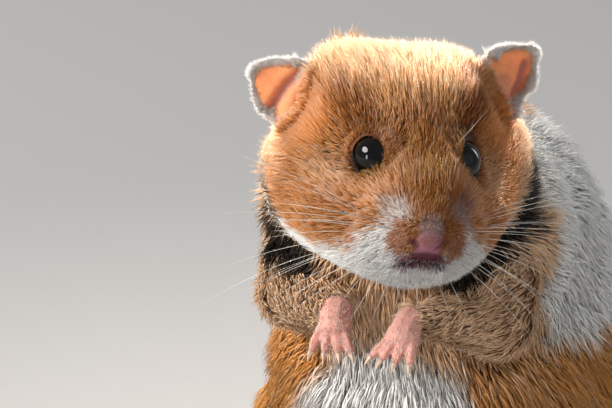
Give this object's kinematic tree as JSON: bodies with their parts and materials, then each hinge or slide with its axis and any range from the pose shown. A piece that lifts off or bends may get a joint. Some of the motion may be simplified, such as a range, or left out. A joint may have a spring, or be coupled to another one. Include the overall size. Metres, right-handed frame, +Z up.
{
  "type": "syrian hamster",
  "caption": "Life-size still model of a Syrian hamster sitting up on its haunches, forepaws at the chest, head turned and lowered.",
  "frame": {"origin": "on the floor under the middle of the animal's bounding box", "axes": "+Z up, -Y the way the body faces, +X to the animal's left"},
  "size_m": [0.0618, 0.1044, 0.0983],
  "materials": {
    "coat": "soft dense fur, golden with white and black markings",
    "bare_skin": "thinly haired pink skin",
    "ear_skin": "thin velvety skin, light shows through",
    "nose_skin": "damp pink skin",
    "eye": "wet glossy near-black",
    "claw_horn": "smooth pale horn"
  },
  "bodies": {
    "root": {"left_hind_foot": "bare_skin", "left_hind_claw_1": "claw_horn", "left_hind_claw_2": "claw_horn", "left_hind_claw_3": "claw_horn", "left_hind_claw_4": "claw_horn", "left_hind_claw_5": "claw_horn", "right_hind_foot": "bare_skin", "right_hind_claw_1": "claw_horn", "right_hind_claw_2": "claw_horn", "right_hind_claw_3": "claw_horn", "right_hind_claw_4": "claw_horn", "right_hind_claw_5": "claw_horn", "left_thigh": "coat", "right_thigh": "coat", "left_foreleg": "coat", "left_forepaw": "bare_skin", "left_fore_claw_1": "claw_horn", "left_fore_claw_2": "claw_horn", "left_fore_claw_3": "claw_horn", "left_fore_claw_4": "claw_horn", "right_foreleg": "coat", "right_forepaw": "bare_skin", "right_fore_claw_1": "claw_horn", "right_fore_claw_2": "claw_horn", "right_fore_claw_3": "claw_horn", "right_fore_claw_4": "claw_horn", "tail": "bare_skin", "trunk": "coat", "chest": "coat", "neck": "coat", "left_eye": "eye", "right_eye": "eye", "nose": "nose_skin", "head": "coat", "left_ear": "ear_skin", "right_ear": "ear_skin"}
  },
  "joints": []
}
